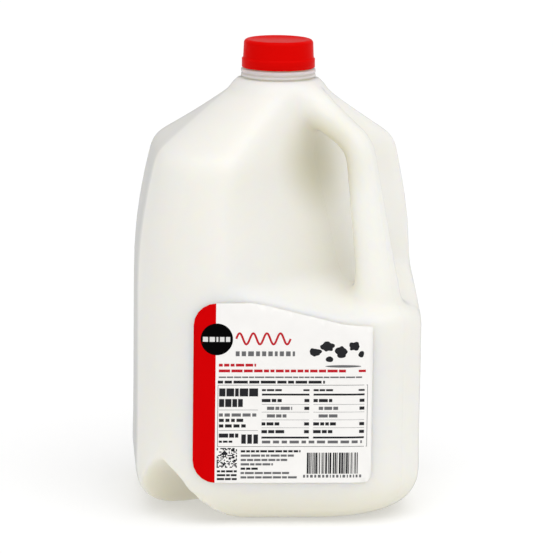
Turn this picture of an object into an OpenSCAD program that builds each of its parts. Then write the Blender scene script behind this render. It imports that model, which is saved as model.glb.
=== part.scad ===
// One-gallon blow-moulded milk jug with a screw cap and a front label.
// The base stands on z = 0 and the neck stands on the z axis.
// The label faces -y. The handle fills the upright corner between the +x and -y walls.

/* [Body] */
// Width of the square body, wall to wall
body_w = 153; // [130:0.5:182]
// Plan radius of the four upright corners
corner_r = 39; // [32:1:44]
// Radius of the edge between the walls and the base
base_edge_r = 24; // [14:1:27]
// Height where the straight walls start to lean in
lean_z = 121; // [100:1:142]
// Height where the walls turn into the shoulder
shoulder_z = 189; // [176:1:227]
// How far each wall has leaned in at that height
lean_in = 8.7; // [5:0.1:13]
// Radius of the turn between wall and shoulder
shoulder_r = 15.5; // [8:0.5:20]
// Slope of the shoulder above the level
shoulder_slope = 37; // [28:1:42]

/* [Neck] */
// Radius of the flared collar where it meets the shoulder
collar_r = 26; // [23:0.5:31]
// Height of the flared collar
collar_h = 5.8; // [4:0.2:10]
// Radius of the neck
neck_r = 19; // [17.8:0.1:22.8]
// Height of the bare neck between collar and bead
neck_h = 2.3; // [1:0.1:6]
// How far the bead stands out from the neck
bead_out = 1.1; // [0.4:0.1:1.8]
// Height of the bead
bead_h = 2.7; // [1.5:0.1:4]

/* [Cap] */
// Outside radius of the cap at its lower band
cap_r = 19.7; // [18.4:0.1:23.7]
// How far the cap's upper side is set in from its lower band
cap_step = 0.7; // [0.3:0.1:1]
// Height of the cap's lower band
cap_band_h = 5.4; // [3:0.2:8]
// Height of the whole cap
cap_h = 15.1; // [12:0.1:22]
// Radius of the cap's top edge
cap_edge_r = 2.1; // [0.8:0.1:3]
// Thickness of the cap's side and top
cap_wall = 1.3; // [0.8:0.1:2]
// Gap between the cap and the neck inside it
cap_gap = 0.3; // [0.2:0.1:0.6]

/* [Handle] */
// Distance from the neck axis to the middle of the handle at its foot, along the diagonal
foot_out = 72; // [68:0.5:76]
// How far the handle leans in between its foot and its top bend
handle_lean = 12.5; // [5:0.5:17]
// Thickness of the handle at its foot, towards the neck axis
foot_t = 22; // [18:0.5:26]
// Width of the handle at its foot, side to side
foot_w = 26; // [20:0.5:33]
// Thickness of the handle at its top bend
grip_t = 17; // [14:0.5:20]
// Width of the handle at its top bend
grip_w = 19; // [15:0.5:24]
// How far the foot flares out where it meets the body
foot_flare = 7; // [2:0.5:10]
// How far the handle's root flares out where it meets the neck
root_flare = 6; // [2:0.5:10]
// Radius of the handle's middle line at the top bend
bend_r = 12; // [9:1:20]
// Slope of the handle's top run, rising to the neck
top_slope = 31; // [20:1:37]
// Height above shoulder_z where the handle's two straight lines would meet
bend_rise = 5; // [0:1:20]

/* [Grip] */
// Height of the lowest point of the finger hole
hole_z = 128.5; // [110:0.5:148]
// Diagonal place of the body-side edge at the bottom of the hole
apex_low = 33; // [28:0.5:39]
// Diagonal place of the body-side edge at the top of the hole
apex_top = 19; // [17.4:0.1:24]
// How far past the middle of the front wall the scoop reaches
scoop_reach = 32; // [22:1:37]
// Height where the scoop's far edge starts to move over towards the neck
scoop_turn_z = 178; // [150:1:188]
// Height of the ledge's rim at the scoop's far edge
rim_far_z = 128; // [112:1:146]
// Height of the ledge's rim in front of the finger hole
rim_low_z = 112; // [94:1:122]
// Height of the ledge's rim at the handle's corner
rim_corner_z = 109; // [92:1:118]

/* [Base] */
// Height of the groove at the corners it runs out of
groove_z = 40; // [30:1:48]
// Height of the groove in the middle of the base
groove_mid_z = 9; // [5:1:14]
// Half width of the groove in the middle of the base
groove_mid_w = 9; // [6:1:14]
// Half width of the groove where it runs out at a corner
groove_w = 39; // [30:1:46]
// Radius of the raised middle of the base
push_r = 33; // [24:1:40]
// Height of the raised middle of the base
push_z = 6; // [3:0.5:10]

/* [Label] */
// Height of the label's lower edge
label_z = 24.2; // [20:0.2:34]
// Height of the label
label_h = 96.5; // [70:0.5:98]
// Left edge of the label, from the middle of the front wall
label_left = 47.3; // [30:0.1:56]
// Right edge of the label, from the middle of the front wall
label_right = 47.3; // [30:0.1:56]
// Thickness of the label
label_t = 0.3; // [0.2:0.05:0.5]
// Radius of the label's corners
label_r = 12; // [4:1:16]
// How far the label's upper edge stays below the rim of the grip's ledge
label_below_rim = 3; // [1:0.5:8]

/* [Quality] */
// Points round each section of the body
ring_n = 72; // [48:8:96]

/* [Hidden] */
body_half = body_w / 2;
milk_white = [0.96, 0.955, 0.93];
cap_red = [0.86, 0.05, 0.04];
label_white = [0.93, 0.92, 0.9];

// ---- A closed solid through a stack of rings that all have the same number of points ----
module loft(rings) {
    n = len(rings[0]);
    last = (len(rings) - 1) * n;
    sides = [for (k = [0 : len(rings) - 2], i = [0 : n - 1]) let (j = (i + 1) % n, b = k * n)
        each [[b + i, b + n + i, b + n + j], [b + i, b + n + j, b + j]]];
    bottom = [for (i = [1 : n - 2]) [0, i, i + 1]];
    top = [for (i = [1 : n - 2]) [last, last + i + 1, last + i]];
    polyhedron([for (r = rings) each r], concat(sides, bottom, top));
}

// ---- Section of the body: a square of half width h with corners of radius r ----
function folded(a) = let (q = a % 90) q > 45 ? 90 - q : q;
function reach(a, h, r) = let (f = folded(a), c = h - r)
    tan(f) * h <= c ? h / cos(f)
    : c * (cos(f) + sin(f)) + sqrt(r * r - c * c * (1 - sin(2 * f)));
function ring(h, r) = [for (i = [0 : ring_n - 1]) let (a = 360 * i / ring_n)
    reach(a, h, r) * [cos(a), sin(a)]];
function at_height(outline, z) = [for (p = outline) [p[0], p[1], z]];

// ---- Levels of the body from the ground up, each [height, half width, corner radius] ----
base_steps = 6;
base_levels = [for (k = [0 : base_steps]) let (t = 90 * k / base_steps)
    [base_edge_r * (1 - cos(t)), body_half - base_edge_r * (1 - sin(t)), corner_r]];

lean_steps = 5;
top_corner_r = corner_r - 3;
function leaned_half(z) = let (s = (z - lean_z) / (shoulder_z - lean_z))
    body_half - lean_in * max(0, s) * max(0, s);
lean_levels = [for (k = [0 : lean_steps])
    let (s = k / lean_steps, z = lean_z + (shoulder_z - lean_z) * s)
    [z, leaned_half(z), corner_r + (top_corner_r - corner_r) * s]];

turn_steps = 5;
lean_angle = atan(2 * lean_in / (shoulder_z - lean_z));
turn_end = 90 - shoulder_slope;
turn_half = body_half - lean_in - shoulder_r * cos(lean_angle);
turn_z = shoulder_z - shoulder_r * sin(lean_angle);
turn_levels = [for (k = [1 : turn_steps])
    let (a = lean_angle + (turn_end - lean_angle) * k / turn_steps)
    [turn_z + shoulder_r * sin(a), turn_half + shoulder_r * cos(a), top_corner_r]];

slope_steps = 6;
slope_half = turn_half + shoulder_r * cos(turn_end);
slope_z = turn_z + shoulder_r * sin(turn_end);
collar_z = slope_z + (slope_half - collar_r) * tan(shoulder_slope);
slope_round = top_corner_r / slope_half;
slope_levels = [for (k = [1 : slope_steps])
    let (s = k / slope_steps, h = slope_half + (collar_r - slope_half) * s)
    [slope_z + (collar_z - slope_z) * s, h, h * (slope_round + (1 - slope_round) * s)]];

collar_steps = 4;
neck_z = collar_z + collar_h;
collar_levels = [for (k = [1 : collar_steps])
    let (t = 90 * k / collar_steps, r = neck_r + (collar_r - neck_r) * cos(t))
    [collar_z + collar_h * sin(t), r, r]];

bead_z = neck_z + neck_h;
bead_top = bead_z + bead_h;
bead_r = neck_r + bead_out;
cap_z = bead_top + cap_gap;
cap_top = cap_z + cap_h;
bore_r = cap_r - cap_step - cap_wall;
lip_r = bore_r - cap_gap;
lip_z = cap_top - cap_wall;
bead_slant = bead_h / 4;
neck_levels = [
    [bead_z, neck_r, neck_r],
    [bead_z + bead_slant, bead_r, bead_r],
    [bead_top - bead_slant, bead_r, bead_r],
    [bead_top, lip_r, lip_r],
    [lip_z, lip_r, lip_r]];

module envelope() {
    levels = concat(base_levels, lean_levels, turn_levels, slope_levels, collar_levels,
        neck_levels);
    loft([for (v = levels) at_height(ring(v[1], v[2]), v[0])]);
}

// ---- The grip: the label side's half of the scoop, which its mirror image completes ----
// The scoop's inner wall runs from the far edge on the front wall to an apex on the diagonal.
// Its floor is a ledge that falls from the foot of the apex to a rim on the front wall.
scoop_steps = 14;
scoop_columns = 4;
ledge_points = 5;
overshoot = 1.3;
foot_arch = 2;
edge_curve = 1.3;
edge_end = collar_r * 0.4;
function share(z, from, to) = min(1, max(0, (z - from) / (to - from)));
function apex(z) = apex_low + (apex_top - apex_low) * share(z, hole_z, shoulder_z);
function far_edge(z) = -scoop_reach
    + (scoop_reach + edge_end) * pow(share(z, scoop_turn_z, collar_z), edge_curve);
function wall_half(z) = z <= shoulder_z ? leaned_half(z)
    : max(collar_r, body_half - lean_in - (z - shoulder_z) / tan(shoulder_slope));
function away(from, to) = from + (to - from) * overshoot;

// The rim's height along the front wall: it falls to the finger hole, and on to the handle's corner.
function rim_z(x) = x < apex_low
    ? rim_far_z + (rim_low_z - rim_far_z) * (x + scoop_reach) / (apex_low + scoop_reach)
    : rim_low_z + (rim_corner_z - rim_low_z) * (x - apex_low) / (body_half - apex_low);

foot = [apex_low, -apex_low, hole_z];
foot_far = away(foot, [-scoop_reach, -body_half, rim_far_z]);
ledge = [for (k = [1 : ledge_points])
    let (x = -scoop_reach + (body_half + scoop_reach) * k / ledge_points)
    away(foot, [x, -body_half, rim_z(x)])];
panel_share = [for (k = [0 : scoop_columns]) k / scoop_columns];

function scoop_ring(z) =
    let (a = [apex(z), -apex(z)], far = away(a, [far_edge(z), -wall_half(z)]))
    at_height(concat([for (s = panel_share) a + (far - a) * s],
        [for (p = ledge) [p[0], p[1]]]), z);

module scoop_half() {
    panel_foot = [for (s = panel_share)
        foot + (foot_far - foot) * s + [0, 0, foot_arch * sin(180 * s)]];
    first_z = max(hole_z, rim_far_z) + 2 * foot_arch;
    rings = [for (k = [0 : scoop_steps])
        scoop_ring(first_z + (cap_z - first_z) * k / scoop_steps)];
    loft(concat([concat(panel_foot, ledge)], rings));
}

module mirrored() {
    children();
    mirror([1, 1, 0]) children();
}

// ---- The handle: oval sections along a path in the diagonal's upright plane ----
// A station is [distance out, height, turn of the path from upright, thickness, width].
foot_steps = 8;
foot_sunk = 8;
foot_z = rim_low_z - foot_sunk;
flare_run = 0.38;
bend_z = shoulder_z + bend_rise;
lean_turn = atan(handle_lean / (bend_z - hole_z));
function flare(s) = foot_flare * pow(max(0, 1 - s / flare_run), 2);
foot_stations = [for (k = [0 : foot_steps - 1])
    let (s = k / foot_steps, z = foot_z + (bend_z - foot_z) * s, up = share(z, hole_z, bend_z))
    [foot_out - handle_lean * up, z, lean_turn * up,
     foot_t + (grip_t - foot_t) * up + flare(s), foot_w + (grip_w - foot_w) * up + 2 * flare(s)]];
bend_steps = 6;
bend_out = foot_out - handle_lean - bend_r * cos(lean_turn);
bend_low = bend_z - bend_r * sin(lean_turn);
bend_end = 90 - top_slope;
bend_stations = [for (k = [0 : bend_steps])
    let (a = lean_turn + (bend_end - lean_turn) * k / bend_steps)
    [bend_out + bend_r * cos(a), bend_low + bend_r * sin(a), a, grip_t, grip_w]];
root_steps = 4;
root_start = bend_stations[bend_steps];
root_end = collar_r * 0.6;
root_run = root_start[0] - root_end;
root_stations = [for (k = [1 : root_steps]) let (s = k / root_steps, more = root_flare * s * s)
    [root_start[0] - root_run * s - more / 2 * sin(top_slope),
     root_start[1] + root_run * s * tan(top_slope) - more / 2 * cos(top_slope), bend_end,
     grip_t + more, grip_w + more]];
stations = concat(foot_stations, bend_stations, root_stations);

section_n = 14;
function section(v) = [for (k = [0 : section_n - 1])
    let (a = 360 * k / section_n, side = v[4] / 2 * sin(a), out = v[0] + v[3] / 2 * cos(a) * cos(v[2]))
    [(out + side) / sqrt(2), (side - out) / sqrt(2), v[1] + v[3] / 2 * cos(a) * sin(v[2])]];

module handle() {
    for (k = [0 : len(stations) - 2])
        hull() loft([section(stations[k]), section(stations[k + 1])]);
}

// ---- The base: a raised middle, and a groove out to the front-left and back-right corners ----
// The groove is a wide V with a blunt ridge: each flank bends once, at knee.
sunk = 1;
push_taper = 12;
knee = [0.35, 0.75];
groove_out = body_half * sqrt(2);
function groove_section(out, w, h) =
    [for (p = [[-w, -sunk], [w, -sunk], [w * knee[0], h * knee[1]], [0, h], [-w * knee[0], h * knee[1]]])
        [(-out + p[0]) / sqrt(2), (-out - p[0]) / sqrt(2), p[1]]];
module base_cuts() {
    translate([0, 0, -sunk])
        cylinder(r1 = push_r, r2 = push_r - push_taper, h = push_z + sunk, $fn = 32);
    for (side = [-1, 1])
        hull() loft([groove_section(0, groove_mid_w, groove_mid_z),
            groove_section(side * groove_out, groove_w, groove_z)]);
}

module jug() {
    color(milk_white) difference() {
        union() {
            difference() {
                envelope();
                mirrored() scoop_half();
            }
            handle();
        }
        base_cuts();
    }
}

// ---- The cap: a turned shell that seats on the lip of the neck ----
module cap() {
    side_r = cap_r - cap_step;
    edge = [for (a = [0 : 15 : 90])
        [side_r - cap_edge_r * (1 - cos(a)), cap_top - cap_edge_r * (1 - sin(a))]];
    color(cap_red) rotate_extrude($fn = 96) polygon(concat(
        [[bore_r, cap_z], [cap_r, cap_z], [cap_r, cap_z + cap_band_h - cap_step],
         [side_r, cap_z + cap_band_h]],
        edge,
        [[0, cap_top], [0, lip_z], [bore_r, lip_z]]));
}

// ---- The label: a thin strip bent round the front wall, trimmed to its outline ----
label_top = label_z + label_h;
label_small_r = label_r / 3;
label_pitch = 8;
arc_steps = 5;
function corner_arc(x, z, r, from) = [for (k = [0 : arc_steps]) let (a = from + 90 * k / arc_steps)
    [x + r * cos(a), z + r * sin(a)]];
module label() {
    left = -label_left + label_r;
    right = label_right - label_small_r;
    outline = concat(
        corner_arc(left, label_z + label_r, label_r, 180),
        corner_arc(right, label_z + label_small_r, label_small_r, 270),
        [for (x = [label_right : -label_pitch : left + label_pitch / 2])
            [x, min(label_top, rim_z(x) - label_below_rim)]],
        corner_arc(left, label_top - label_r, label_r, 90));
    color(label_white) intersection() {
        linear_extrude(height = label_top + label_t) difference() {
            polygon(ring(body_half + label_t, corner_r + label_t));
            polygon(ring(body_half, corner_r));
        }
        rotate([90, 0, 0]) linear_extrude(height = body_w) polygon(outline);
    }
}

jug();
cap();
label();
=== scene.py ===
import math
import random

import bmesh
import bpy
from mathutils import Matrix, Vector, noise
from mathutils.bvhtree import BVHTree


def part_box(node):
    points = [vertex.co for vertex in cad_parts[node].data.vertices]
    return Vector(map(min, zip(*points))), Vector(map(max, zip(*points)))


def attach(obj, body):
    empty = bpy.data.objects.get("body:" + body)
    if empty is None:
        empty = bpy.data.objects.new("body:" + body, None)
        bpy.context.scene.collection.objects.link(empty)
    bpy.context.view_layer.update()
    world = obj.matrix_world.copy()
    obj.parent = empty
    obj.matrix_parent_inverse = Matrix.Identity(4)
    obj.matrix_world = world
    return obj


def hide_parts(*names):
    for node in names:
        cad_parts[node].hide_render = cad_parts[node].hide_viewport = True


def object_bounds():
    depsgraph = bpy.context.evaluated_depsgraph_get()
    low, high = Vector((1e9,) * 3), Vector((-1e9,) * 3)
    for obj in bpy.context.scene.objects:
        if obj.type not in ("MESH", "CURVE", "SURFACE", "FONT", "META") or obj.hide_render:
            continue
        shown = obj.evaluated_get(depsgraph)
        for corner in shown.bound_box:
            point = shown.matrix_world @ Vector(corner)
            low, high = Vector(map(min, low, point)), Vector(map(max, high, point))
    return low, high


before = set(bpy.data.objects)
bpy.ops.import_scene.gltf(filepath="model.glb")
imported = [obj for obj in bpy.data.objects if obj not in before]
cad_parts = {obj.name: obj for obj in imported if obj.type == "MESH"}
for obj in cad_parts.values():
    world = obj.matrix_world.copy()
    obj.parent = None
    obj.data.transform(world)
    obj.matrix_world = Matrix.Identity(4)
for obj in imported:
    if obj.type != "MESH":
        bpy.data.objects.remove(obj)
cad_low, cad_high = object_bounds()
scene = bpy.context.scene

# ---- Camera ----
# A long lens a little above the label's height, turned slightly to the left of the labelled wall.
# It leans by less than a degree, and it aims at the neck's axis just under the middle of the jug.
camera_turn = math.radians(-3.4)
camera_rise = math.radians(10.4)
camera_lean = math.radians(0.7)
camera_distance = 2.2
camera_aim = Vector((0.0004, 0, cad_high.z * 0.4825))
camera_lens = 263.7
camera_reach = 30
camera_away = Vector((math.cos(camera_rise) * math.sin(camera_turn),
                      -math.cos(camera_rise) * math.cos(camera_turn),
                      math.sin(camera_rise)))
camera_data = bpy.data.cameras.new("camera")
camera_data.sensor_width = 36
camera_data.lens = camera_lens
camera_data.clip_end = camera_reach
camera = bpy.data.objects.new("camera", camera_data)
scene.collection.objects.link(camera)
camera.matrix_world = (Matrix.Translation(camera_aim + camera_away * camera_distance)
                       @ (-camera_away).to_track_quat("-Z", "Y").to_matrix().to_4x4()
                       @ Matrix.Rotation(camera_lean, 4, "Z"))
scene.camera = camera

# ---- Jug ----
# The bottle is blown in one piece from natural polyethylene, handle and all, and stands full of milk.
# Its skin is drawn over the frame's faceted solid and relaxed, so that each fold is as soft as blown
# plastic. Above the collar the neck is turned to its true rings, and a mould line runs round it all.
skin_step = 0.0015
skin_passes = 14
grip_passes = 26
grip_low, grip_high = 0.104, 0.222
grip_inner = 0.012
line_half_width = 0.0004
line_height = 0.00018
line_start = 0.004
sink_depth = 0.0005
sink_size = 0.055
sink_fade = 0.02
# The centre of the painted shadow at the top of the finger hole, and how far that shadow reaches.
hole_shadow_centre = Vector((0.026, -0.030, 0.188))
hole_shade = (0.034, 0.004)
neck_reach = 0.012
neck_trim = 0.0008
same_height = 1e-5

jug_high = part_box("jug")[1]
cap_low, cap_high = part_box("cap")


def add_object(name, shape, *materials):
    """Turns a bmesh into a smooth-shaded object at the origin."""
    mesh = bpy.data.meshes.new(name)
    shape.to_mesh(mesh)
    shape.free()
    for material in materials:
        mesh.materials.append(material)
    mesh.polygons.foreach_set("use_smooth", [True] * len(mesh.polygons))
    made = bpy.data.objects.new(name, mesh)
    scene.collection.objects.link(made)
    return made


def copy_of(node):
    """A merged copy of a node's mesh."""
    shape = bmesh.new()
    shape.from_mesh(node.data)
    bmesh.ops.remove_doubles(shape, verts=shape.verts, dist=1e-6)
    return shape


def seen_mesh(made):
    """The object's mesh with its modifiers applied."""
    graph = bpy.context.evaluated_depsgraph_get()
    return bpy.data.meshes.new_from_object(made.evaluated_get(graph))


def relax(shape, verts, passes):
    """Evens out some of a mesh: each pass moves its points half way to the middle of their neighbours."""
    for step in range(passes):
        bmesh.ops.smooth_vert(shape, verts=verts, factor=0.5, use_axis_x=True, use_axis_y=True,
                              use_axis_z=True)


# The neck's rings come from the solid: each is a height and a radius, from the neck's foot to the lip.
jug_shape = copy_of(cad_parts["jug"])
jug_wall = BVHTree.FromBMesh(jug_shape)
lip_radius = max(v.co.xy.length for v in jug_shape.verts if v.co.z > jug_high.z - same_height)
rings = sorted({(round(v.co.z, 5), round(v.co.xy.length, 5)) for v in jug_shape.verts
                if v.co.xy.length < lip_radius * 1.5 and v.co.z > cap_low.z - neck_reach})
neck_start = min(z for z, r in rings if r < lip_radius * 1.1)
neck_rings = [(z, r) for z, r in rings if z >= neck_start]

blank = add_object("jug_blank", jug_shape)
remesh = blank.modifiers.new("skin", "REMESH")
remesh.mode = "VOXEL"
remesh.voxel_size = skin_step
skin = bmesh.new()
skin.from_mesh(seen_mesh(blank))
bpy.data.objects.remove(blank)

# The grip gets more passes than the rest, because blown plastic stretches furthest there.
in_grip = [v for v in skin.verts if grip_low < v.co.z < grip_high and v.co.x - v.co.y > grip_inner]
relax(skin, skin.verts, skin_passes)
relax(skin, in_grip, grip_passes)

# The walls of a full jug aren't quite flat: they sink here and there by up to half a millimetre.
skin.normal_update()
for v in skin.verts:
    above_base = min(1, max(0, (v.co.z - sink_fade) / sink_fade))
    under_neck = min(1, max(0, (neck_start - v.co.z) / sink_fade))
    sink = noise.noise(v.co / sink_size + Vector((3.1, 0.4, 7.7))) * 0.5 + 0.5
    v.co -= v.normal * sink * sink_depth * above_base * under_neck

# The mould line lies in the upright plane through the neck and the handle.
across = Vector((1, 1, 0)).normalized()
for offset in (-line_half_width, line_half_width, 0):
    cut = bmesh.ops.bisect_plane(skin, geom=skin.verts[:] + skin.edges[:] + skin.faces[:],
                                 plane_co=across * offset, plane_no=across, dist=1e-6)
skin.normal_update()
for v in [g for g in cut["geom_cut"] if isinstance(g, bmesh.types.BMVert)]:
    if v.co.z > line_start:
        v.co += v.normal * line_height

# The turned neck: the skin is trimmed under the first ring, and the rings are spun and bridged to it.
bmesh.ops.bisect_plane(skin, geom=skin.verts[:] + skin.edges[:] + skin.faces[:],
                       plane_co=(0, 0, neck_start - neck_trim), plane_no=(0, 0, 1), clear_outer=True)
trimmed = [e for e in skin.edges if e.is_boundary]
neck_profile = [skin.verts.new((r, 0, z)) for z, r in neck_rings]
neck_edges = [skin.edges.new(pair) for pair in zip(neck_profile, neck_profile[1:])]
bmesh.ops.spin(skin, geom=neck_profile + neck_edges, cent=(0, 0, 0), axis=(0, 0, 1), steps=144,
               angle=math.tau, use_merge=True)
rims = [e for e in skin.edges if e.is_boundary]
first_ring = [e for e in rims if abs(e.verts[0].co.z - neck_start) < same_height and e not in trimmed]
lip_ring = [e for e in rims if abs(e.verts[0].co.z - jug_high.z) < same_height]
bmesh.ops.bridge_loops(skin, edges=trimmed + first_ring)
bmesh.ops.edgeloop_fill(skin, edges=lip_ring)
bmesh.ops.recalc_face_normals(skin, faces=skin.faces)


def new_material(name, colour, roughness):
    """A material with its plain values on the shader, and its nodes, links and shader."""
    material = bpy.data.materials.new(name)
    material.use_nodes = True
    nodes = material.node_tree.nodes
    shader = nodes["Principled BSDF"]
    shader.inputs["Base Color"].default_value = (*colour, 1)
    shader.inputs["Roughness"].default_value = roughness
    return material, nodes, material.node_tree.links, shader


def add_noise(nodes, links, scale, detail):
    """A noise pattern on the piece's own coordinates."""
    place = nodes.new("ShaderNodeTexCoord")
    pattern = nodes.new("ShaderNodeTexNoise")
    pattern.inputs["Scale"].default_value = scale
    pattern.inputs["Detail"].default_value = detail
    links.new(place.outputs["Object"], pattern.inputs["Vector"])
    return pattern


def share_of(nodes, links, value, low, high, smooth=False):
    """Turns a value into a share: 0 at low, and 1 at high."""
    spread = nodes.new("ShaderNodeMapRange")
    spread.interpolation_type = "SMOOTHSTEP" if smooth else "LINEAR"
    spread.inputs["From Min"].default_value = low
    spread.inputs["From Max"].default_value = high
    links.new(value, spread.inputs["Value"])
    return spread.outputs["Result"]


def blend(nodes, links, share, first, second):
    """Mixes two colours by a share. Each is a plain colour or another node's output."""
    mix = nodes.new("ShaderNodeMix")
    mix.data_type = "RGBA"
    links.new(share, mix.inputs["Factor"])
    for socket, colour in ((mix.inputs["A"], first), (mix.inputs["B"], second)):
        if isinstance(colour, tuple):
            socket.default_value = (*colour, 1)
        else:
            links.new(colour, socket)
    return mix.outputs["Result"]


def vary_roughness(nodes, links, shader, scale, low, high):
    """Lets the roughness drift between two values."""
    pattern = add_noise(nodes, links, scale, 3)
    spread = nodes.new("ShaderNodeMapRange")
    spread.inputs["To Min"].default_value = low
    spread.inputs["To Max"].default_value = high
    links.new(pattern.outputs["Fac"], spread.inputs["Value"])
    links.new(spread.outputs["Result"], shader.inputs["Roughness"])


def add_bump(nodes, links, shader, scale, strength, distance):
    """A fine moulded texture."""
    pattern = add_noise(nodes, links, scale, 4)
    bump = nodes.new("ShaderNodeBump")
    bump.inputs["Strength"].default_value = strength
    bump.inputs["Distance"].default_value = distance
    links.new(pattern.outputs["Fac"], bump.inputs["Height"])
    links.new(bump.outputs["Normal"], shader.inputs["Normal"])


def milk_plastic():
    """Milky plastic with milk behind it.

    Above the milk the empty neck is greyer, with a painted red glow from the cap. A yellowish painted
    shade lies in the folds and near the floor, with a painted shadow at the top of the finger hole. Where
    the wall turns away from the view it is painted greyer, a painted shade at the edges.
    """
    material, nodes, links, shader = new_material("milk_plastic", (0.88, 0.87, 0.83), 0.42)
    shader.inputs["Subsurface Weight"].default_value = 0.7
    shader.inputs["Subsurface Radius"].default_value = (1.0, 0.85, 0.55)
    shader.inputs["Subsurface Scale"].default_value = 0.02
    shader.inputs["Specular IOR Level"].default_value = 0.4
    place = nodes.new("ShaderNodeTexCoord").outputs["Object"]

    cloud = add_noise(nodes, links, 16, 2).outputs["Fac"]
    colour = blend(nodes, links, cloud, (0.88, 0.865, 0.805), (0.91, 0.90, 0.86))

    # Above the milk the empty neck is greyer, and a painted red glow from the cap tints it pink.
    split = nodes.new("ShaderNodeSeparateXYZ")
    links.new(place, split.inputs["Vector"])
    above_milk_with_red_glow = share_of(nodes, links, split.outputs["Z"], neck_start - 0.002, neck_start + 0.007, True)
    colour = blend(nodes, links, above_milk_with_red_glow, colour, (0.80, 0.66, 0.63))

    # Painted shade: the colour turns darker and yellower in folds, creases and near the floor, where
    # light is blocked.
    fold_shade_ao = nodes.new("ShaderNodeAmbientOcclusion")
    fold_shade_ao.samples = 8
    fold_shade_ao.inputs["Distance"].default_value = 0.05
    free_of_painted_shade = share_of(nodes, links, fold_shade_ao.outputs["AO"], 0.2, 0.9)
    colour = blend(nodes, links, free_of_painted_shade, (0.79, 0.765, 0.655), colour)

    # Painted shadow: a dark yellow spot at the top of the finger hole, under the handle.
    distance = nodes.new("ShaderNodeVectorMath")
    distance.operation = "DISTANCE"
    distance.inputs[1].default_value = hole_shadow_centre
    links.new(place, distance.inputs[0])
    painted_hole_shadow = share_of(nodes, links, distance.outputs["Value"], *hole_shade, True)
    colour = blend(nodes, links, painted_hole_shadow, colour, (0.66, 0.63, 0.48))

    # Painted shade: where the wall turns away from the view, the colour is made greyer towards the edges.
    facing = nodes.new("ShaderNodeLayerWeight")
    facing.inputs["Blend"].default_value = 0.5
    painted_edge_shade = share_of(nodes, links, facing.outputs["Facing"], 0.8, 1)
    colour = blend(nodes, links, painted_edge_shade, colour, (0.52, 0.52, 0.50))

    links.new(colour, shader.inputs["Base Color"])
    vary_roughness(nodes, links, shader, 40, 0.36, 0.48)
    add_bump(nodes, links, shader, 520, 0.05, 0.0004)
    return material


jug = add_object("jug_skin", skin, milk_plastic())
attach(jug, "root")
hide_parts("jug")

# ---- Cap ----
# A screw cap, injection moulded in red polyethylene, with a slightly wider tear band round its foot.
# It is a turned shell: the top edge is well rounded, and the side tapers by a hair towards the top.
cap_radius = cap_high.x
bore_radius = min(v.co.xy.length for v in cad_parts["cap"].data.vertices
                  if v.co.z < cap_low.z + same_height)
side_wall = 0.0013
side_radius = bore_radius + side_wall
band_height = 0.0054
step_height = 0.0005
edge_radius = 0.0021
taper = 0.0003
crown_inset = 0.0036
crown_dip = 0.00025
crown_bevel = 0.0005
bore_bevel = 0.0002
foot_bevel = 0.0003
step_bevel = 0.0002
fillet_width, fillet_height = 0.0001, 0.0004

cap_shape = bmesh.new()
band_top = cap_low.z + band_height
edge_arc = [(side_radius - taper - edge_radius * (1 - math.cos(a)),
             cap_high.z - edge_radius * (1 - math.sin(a)))
            for a in [math.radians(10 * k) for k in range(10)]]
crown_radius = side_radius - taper - crown_inset
foot = [(bore_radius, cap_low.z + bore_bevel), (bore_radius + bore_bevel, cap_low.z),
        (cap_radius - foot_bevel, cap_low.z), (cap_radius, cap_low.z + foot_bevel)]
band_edge = [(cap_radius, band_top - step_height - step_bevel),
             (cap_radius - foot_bevel, band_top - step_height),
             (side_radius + fillet_width, band_top), (side_radius, band_top + fillet_height)]
crown = [(crown_radius, cap_high.z), (crown_radius - crown_bevel, cap_high.z - crown_dip),
         (0, cap_high.z - crown_dip)]
inside = [(0, jug_high.z), (bore_radius, jug_high.z)]
points = [cap_shape.verts.new((r, 0, z)) for r, z in foot + band_edge + edge_arc + crown + inside]
edges = [cap_shape.edges.new(pair) for pair in zip(points, points[1:])]
edges.append(cap_shape.edges.new((points[-1], points[0])))
bmesh.ops.spin(cap_shape, geom=points + edges, cent=(0, 0, 0), axis=(0, 0, 1), steps=160,
               angle=math.tau, use_merge=True)
bmesh.ops.remove_doubles(cap_shape, verts=cap_shape.verts, dist=1e-6)
bmesh.ops.recalc_face_normals(cap_shape, faces=cap_shape.faces)


def cap_plastic():
    """Half-gloss red plastic, a little translucent."""
    material, nodes, links, shader = new_material("cap_plastic", (0.74, 0.002, 0.001), 0.34)
    shader.inputs["Specular IOR Level"].default_value = 0.015
    shader.inputs["Subsurface Weight"].default_value = 0.08
    shader.inputs["Subsurface Radius"].default_value = (1.0, 0.15, 0.1)
    shader.inputs["Subsurface Scale"].default_value = 0.002
    vary_roughness(nodes, links, shader, 90, 0.30, 0.40)
    add_bump(nodes, links, shader, 900, 0.04, 0.0002)
    return material


cap = add_object("cap_shell", cap_shape, cap_plastic())
cap.data.set_sharp_from_angle(angle=math.radians(50))
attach(cap, "root")
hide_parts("cap")

# ---- Label film ----
# A thin printed film on the labelled wall, wrapped a little way round both of its corners.
# It keeps the outline of the frame's label, and is pressed onto the skin of the jug.
film_thickness = 0.0002
film_sunk = 0.0002
ink_thickness = 0.00003
frame_half_thickness = 0.00015
lattice = 0.004
look_from = -0.2
label_low, label_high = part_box("label")
skin_surface = BVHTree.FromPolygons([v.co for v in jug.data.vertices],
                                    [p.vertices for p in jug.data.polygons])


def divide(shape):
    """Cuts a flat shape along a lattice, so that it can bend."""
    for axis, low, high in ((0, label_low.x, label_high.x), (2, label_low.z, label_high.z)):
        for k in range(1, math.ceil((high - low) / lattice)):
            normal = Vector((0, 0, 0))
            normal[axis] = 1
            bmesh.ops.bisect_plane(shape, geom=shape.verts[:] + shape.edges[:] + shape.faces[:],
                                   plane_co=normal * (low + k * lattice), plane_no=normal, dist=1e-7)


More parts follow.
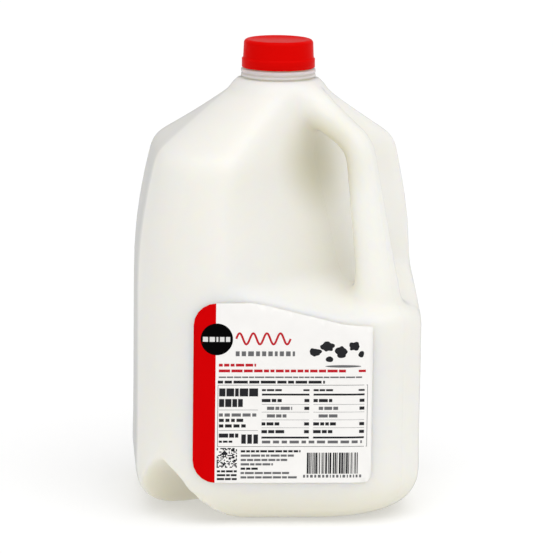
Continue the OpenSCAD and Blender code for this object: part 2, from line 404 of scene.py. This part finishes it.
def wall_at(surface, x, z):
    """How far back a surface lies at a place on the labelled wall."""
    return surface.ray_cast(Vector((x, look_from, z)), Vector((0, 1, 0)))[0].y


def press(shape, lift):
    """Presses a divided shape onto the jug's skin, at a given lift.

    In the flat shape y runs from 0 at the back to minus its thickness at the front.
    """
    for v in shape.verts:
        v.co.y += wall_at(skin_surface, v.co.x, v.co.z) - lift


def label_blank(thickness):
    """The label's own outline as a flat shape of a given thickness."""
    shape = copy_of(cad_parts["label"])
    for v in shape.verts:
        front = wall_at(jug_wall, v.co.x, v.co.z) - v.co.y > frame_half_thickness
        v.co.y = -thickness if front else 0
    return shape


film = label_blank(film_thickness + film_sunk)
divide(film)
press(film, -film_sunk)
bmesh.ops.recalc_face_normals(film, faces=film.faces)


def printed(name, colour, roughness):
    """Label stock or ink: a flat colour with a faint mottle and a satin finish."""
    material, nodes, links, shader = new_material(name, colour, roughness)
    cloud = add_noise(nodes, links, 120, 3).outputs["Fac"]
    darker = tuple(c * 0.96 for c in colour)
    lighter = tuple(min(1, c * 1.03) for c in colour)
    links.new(blend(nodes, links, cloud, darker, lighter), shader.inputs["Base Color"])
    shader.inputs["Specular IOR Level"].default_value = 0.015
    vary_roughness(nodes, links, shader, 60, roughness - 0.05, roughness + 0.05)
    return material


label_film = add_object("label_film", film, printed("label_stock", (0.97, 0.955, 0.93), 0.36))
label_film.data.set_sharp_from_angle(angle=math.radians(40))
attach(label_film, "root")
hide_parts("label")

# ---- Red stripe and black disc ----
# Two solid fields of ink on the film: a stripe that fills the label's left end, with its rounded
# corners, and a disc that sits across the stripe's edge. The disc holds a plain row of white blocks.
stripe_width = 0.0117
disc_x, disc_z, disc_radius = 12.2, 77.3, 8.5
stripe_red = (0.68, 0.0, 0.001)
disc_black = (0.0015, 0.0015, 0.0015)
disc_white = (0.80, 0.80, 0.78)

stripe = label_blank(ink_thickness)
bmesh.ops.bisect_plane(stripe, geom=stripe.verts[:] + stripe.edges[:] + stripe.faces[:],
                       plane_co=(label_low.x + stripe_width, 0, 0), plane_no=(1, 0, 0),
                       clear_outer=True)
bmesh.ops.holes_fill(stripe, edges=[e for e in stripe.edges if e.is_boundary])
divide(stripe)
press(stripe, film_thickness)


def add_print(name, shape, lift, colour):
    """Presses a flat field of ink onto the film."""
    divide(shape)
    press(shape, lift)
    bmesh.ops.recalc_face_normals(shape, faces=shape.faces)
    ink = add_object(name, shape, printed(name, colour, 0.33))
    ink.data.set_sharp_from_angle(angle=math.radians(40))
    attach(ink, "root")
    return ink


def block(shape, left, right, low, high):
    """A block of ink. Its edges are in millimetres from the label's left and lower edges."""
    size = Vector(((right - left) / 1000, ink_thickness, (high - low) / 1000))
    middle = Vector((label_low.x + (left + right) / 2000, -ink_thickness / 2,
                     label_low.z + (low + high) / 2000))
    bmesh.ops.create_cube(shape, size=1, matrix=Matrix.LocRotScale(middle, None, size))


def blob(shape, x, z, radius, squeeze, ragged):
    """A round or uneven patch of ink, in millimetres from the label's left and lower edges."""
    middle = Vector((label_low.x + x / 1000, 0, label_low.z + z / 1000))
    made = bmesh.ops.create_circle(shape, cap_ends=True, radius=radius / 1000, segments=48,
                                   matrix=Matrix.Rotation(math.pi / 2, 4, "X"))["verts"]
    for v in made:
        v.co *= 1 + ragged * noise.noise(v.co * 400 + middle * 900)
        v.co.z *= squeeze
        v.co += middle
    face = made[0].link_faces[0]
    front = bmesh.ops.extrude_face_region(shape, geom=[face])["geom"]
    for v in [g for g in front if isinstance(g, bmesh.types.BMVert)]:
        v.co.y -= ink_thickness


stripe_ink = add_object("label_stripe", stripe, printed("label_stripe", stripe_red, 0.33))
stripe_ink.data.set_sharp_from_angle(angle=math.radians(40))
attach(stripe_ink, "root")

disc = bmesh.new()
blob(disc, disc_x, disc_z, disc_radius, 1, 0)
add_print("label_disc", disc, film_thickness + ink_thickness, disc_black)

disc_row = bmesh.new()
for left, right in ((4.9, 7.6), (8.4, 11.2), (12.0, 13.0), (13.8, 16.2), (17.0, 19.2)):
    block(disc_row, left, right, 76.0, 78.6)
add_print("label_disc_row", disc_row, film_thickness + 2 * ink_thickness, disc_white)

# ---- Small print ----
# Everything that would be words is a row of plain blocks, so that the label says nothing.
# The rows, the ruled table, the square code and the bars keep their size, place and weight.
# All places and sizes here are in millimetres from the label's left and lower edges.
tiny_text, small_text, table_text = 1.1, 1.5, 1.7
text_left, text_right = 13.4, 80.4
dice = random.Random(11)
black_print = bmesh.new()
grey_print = bmesh.new()
red_print = bmesh.new()


def row(shape, left, right, middle, height, longest, gap=0.9):
    """A line of small print: blocks of uneven length with narrow gaps."""
    x = left
    while x < right - 0.5:
        end = min(right, x + longest * dice.uniform(0.35, 1))
        block(shape, x, end, middle - height / 2, middle + height / 2)
        x = end + gap


def wave(shape, left, right, middle, height, stroke, turns):
    """A wavy line of even stroke."""
    made = bmesh.ops.create_grid(shape, x_segments=turns * 16, y_segments=1, size=0.5)["verts"]
    length = (right - left) / 1000
    for v in made:
        along, side = v.co.x + 0.5, v.co.y * 2
        angle = along * turns * math.tau
        rise = height / 2000 * math.sin(angle)
        slope = height / 2000 * math.cos(angle) * turns * math.tau / length
        lean = math.hypot(1, slope)
        v.co = Vector((label_low.x + left / 1000 + along * length - slope / lean * side * stroke / 2000,
                       0,
                       label_low.z + middle / 1000 + rise + side * stroke / 2000 / lean))
    faces = list({f for v in made for f in v.link_faces})
    front = bmesh.ops.extrude_face_region(shape, geom=faces)["geom"]
    for v in [g for g in front if isinstance(g, bmesh.types.BMVert)]:
        v.co.y -= ink_thickness


# the heading beside the disc: a wavy line over a row of blocks, and two red rows under them
wave(red_print, 22.4, 51.0, 77.6, 6.0, 1.1, 4)
row(grey_print, 22.2, 53.4, 69.6, 2.6, 3.2, 1.1)
row(red_print, text_left, 33.0, 63.5, small_text, 5.0, 0.7)
row(red_print, text_left, text_right, 60.4, small_text, 6.0, 0.7)
block(red_print, 87.2, 91.0, 59.7, 61.0)
row(grey_print, text_left, 89.0, 57.0, 0.8, 5.0, 0.4)
row(black_print, 12.9, 69.4, 54.4, small_text, 8.0, 0.8)

# six uneven patches, as on a cow's hide, over a grey ground line
for x, z, radius, squeeze in ((64.0, 70.5, 2.9, 0.8), (70.6, 73.4, 3.4, 0.72), (77.8, 70.4, 3.1, 1.0),
                              (84.6, 73.6, 2.9, 0.85), (72.0, 66.8, 1.7, 0.8), (88.4, 69.0, 1.6, 1.1)):
    blob(black_print, x, z, radius, squeeze, 0.55)
blob(grey_print, 79.0, 62.9, 9.5, 0.07, 0)

# the ruled table: its frame, and in its left column the title, the lines under it and a number
table_left, table_right, table_low, table_high, rule = 12.9, 92.2, 19.5, 52.9, 0.28
block(grey_print, table_left, table_right, table_high - rule, table_high)
block(grey_print, table_left, table_right, table_low, table_low + rule)
block(grey_print, table_left, table_left + rule, table_low, table_high)
block(grey_print, table_right - rule, table_right, table_low, table_high)
title_left, title_right, title_height = 13.7, 34.3, 4.3
title_rows = ((46.7, ((title_left, 17.0), (17.5, 21.6), (22.1, 24.0), (24.5, 29.0), (29.5, 34.2))),
              (41.0, ((title_left, 16.4), (16.9, 20.2), (20.7, 23.2), (23.7, 26.2))))
for low, ends in title_rows:
    for left, right in ends:
        block(black_print, left, right, low, low + title_height)
block(grey_print, 13.6, title_right, 39.3, 39.5)
row(grey_print, title_left, 34.0, 36.7, table_text, 5.0)
row(black_print, title_left, 26.5, 33.8, table_text, 5.0)
row(black_print, title_left, 29.0, 30.8, table_text, 5.0)
block(grey_print, 13.6, title_right, 28.2, 28.4)
row(black_print, title_left, 24.0, 25.6, 2.2, 6.0, 0.5)
row(black_print, title_left, 21.5, 22.3, tiny_text, 4.0, 0.5)
for left in (25.6, 28.8, 32.0):
    block(black_print, left, left + 2.4, 21.2, 26.2)

# its two right columns, with a heavy rule at the top and the foot, and a thin one between rows
columns = ((36.2, 61.3), (63.5, 90.5))
row_heights = (44.5, 40.3, 36.2, 31.9, 27.7)
heavy_rows = (0, 3, 4)
row_without_value = 2
light_inset = 2.8
value_width = 2.6
heavy_rule, thin_rule = 1.0, 0.16
for left, right in columns:
    block(black_print, left, right, 47.2, 47.2 + heavy_rule)
    block(black_print, left, right, 24.0, 24.0 + heavy_rule)
    row(black_print, left, left + 10.5, 50.1, tiny_text, 4.0, 0.5)
    block(black_print, right - 3.2, right, 49.6, 50.6)
    for k, height in enumerate(row_heights):
        ink = black_print if k in heavy_rows else grey_print
        inset = 0 if k in heavy_rows else light_inset
        row(ink, left + inset, left + inset + dice.uniform(9, 14), height, table_text, 5.0, 0.6)
        if k != row_without_value:
            block(black_print, right - value_width, right,
                  height - table_text / 2, height + table_text / 2)
        if k < len(row_heights) - 1:
            middle = (height + row_heights[k + 1]) / 2
            block(grey_print, left, right, middle - thin_rule / 2, middle + thin_rule / 2)
row(grey_print, 36.5, 89.5, 22.1, small_text, 6.0, 1.4)

# the square code, with no message in it, and the lines beside it
code_left, code_low, code_side, code_cells, code_filled = 12.7, 8.2, 10.7, 17, 0.52
cell = code_side / code_cells
for i in range(code_cells):
    for j in range(code_cells):
        if dice.random() < code_filled:
            block(black_print, code_left + i * cell, code_left + (i + 1) * cell,
                  code_low + j * cell, code_low + (j + 1) * cell)
for middle in (6.3, 4.2, 2.1):
    row(black_print, 12.9, 23.4, middle, tiny_text, 4.5, 0.5)
lines_left, lines_top, line_pitch = 25.4, 17.1, 2.35
for k, line_end in enumerate((57.0, 53.5, 50.0, 42.5, 34.5, 51.5, 55.5)):
    row(black_print if k in (0, 4) else grey_print, lines_left, line_end,
        lines_top - line_pitch * k, 1.15, 5.0, 0.5)

# the bars, whose widths are thrown at random, and a row of blocks under them
bars_left, bars_right, bars_low, bars_high = 60.4, 88.2, 4.9, 16.3
last_bar_room = 0.6
x = bars_left
while x < bars_right - last_bar_room:
    width = dice.choice((0.25, 0.25, 0.5, 0.5, 0.75, 1.0))
    block(black_print, x, min(x + width, bars_right), bars_low, bars_high)
    x += width + dice.choice((0.25, 0.25, 0.5, 0.75))
row(grey_print, 58.5, 90.0, 3.6, small_text, 1.5, 0.8)

print_black = (0.025, 0.025, 0.028)
print_grey = (0.16, 0.16, 0.165)
print_red = (0.55, 0.02, 0.03)
add_print("label_black_print", black_print, film_thickness, print_black)
add_print("label_grey_print", grey_print, film_thickness, print_grey)
add_print("label_red_print", red_print, film_thickness, print_red)

# ---- Floor and light ----
# A white floor that glows a little, like a lit table, so that no dark shadow lies under the jug.
# One broad soft light shines from high up in front. The white sky is a little brighter at the right.
floor_size = 12
floor_glow = 0.33
key_strength = 1.55
key_spread = math.radians(70)
key_direction = Vector((-0.15, 0.85, -2.0))
sky_bright_side = Vector((0.80, 0.60, 0.0))
sky_dim, sky_bright = 0.48, 0.60
white = (1, 1, 1, 1)

floor_shape = bmesh.new()
bmesh.ops.create_grid(floor_shape, x_segments=1, y_segments=1, size=floor_size)
floor_mesh = bpy.data.meshes.new("floor")
floor_shape.to_mesh(floor_mesh)
floor_shape.free()
floor_paint, _, _, floor_shader = new_material("floor_paint", (0.70, 0.70, 0.70), 0.9)
floor_shader.inputs["Specular IOR Level"].default_value = 0.0
floor_shader.inputs["Emission Color"].default_value = white
floor_shader.inputs["Emission Strength"].default_value = floor_glow
floor_mesh.materials.append(floor_paint)
floor = bpy.data.objects.new("floor", floor_mesh)
scene.collection.objects.link(floor)

key_data = bpy.data.lights.new("key", "SUN")
key_data.energy = key_strength
key_data.angle = key_spread
key = bpy.data.objects.new("key", key_data)
scene.collection.objects.link(key)
key.rotation_euler = key_direction.to_track_quat("-Z", "Y").to_euler()

world = bpy.data.worlds.new("sky")
scene.world = world
world.use_nodes = True
sky_nodes, sky_links = world.node_tree.nodes, world.node_tree.links
background = sky_nodes["Background"]
background.inputs["Color"].default_value = white
sky_place = sky_nodes.new("ShaderNodeTexCoord")
sky_side = sky_nodes.new("ShaderNodeVectorMath")
sky_side.operation = "DOT_PRODUCT"
sky_side.inputs[1].default_value = sky_bright_side
sky_links.new(sky_place.outputs["Generated"], sky_side.inputs[0])
sky_strength = sky_nodes.new("ShaderNodeMapRange")
sky_strength.inputs["From Min"].default_value = -1.0
sky_strength.inputs["To Min"].default_value = sky_dim
sky_strength.inputs["To Max"].default_value = sky_bright
sky_links.new(sky_side.outputs["Value"], sky_strength.inputs["Value"])
sky_links.new(sky_strength.outputs["Result"], background.inputs["Strength"])
scene.view_settings.view_transform = "Standard"
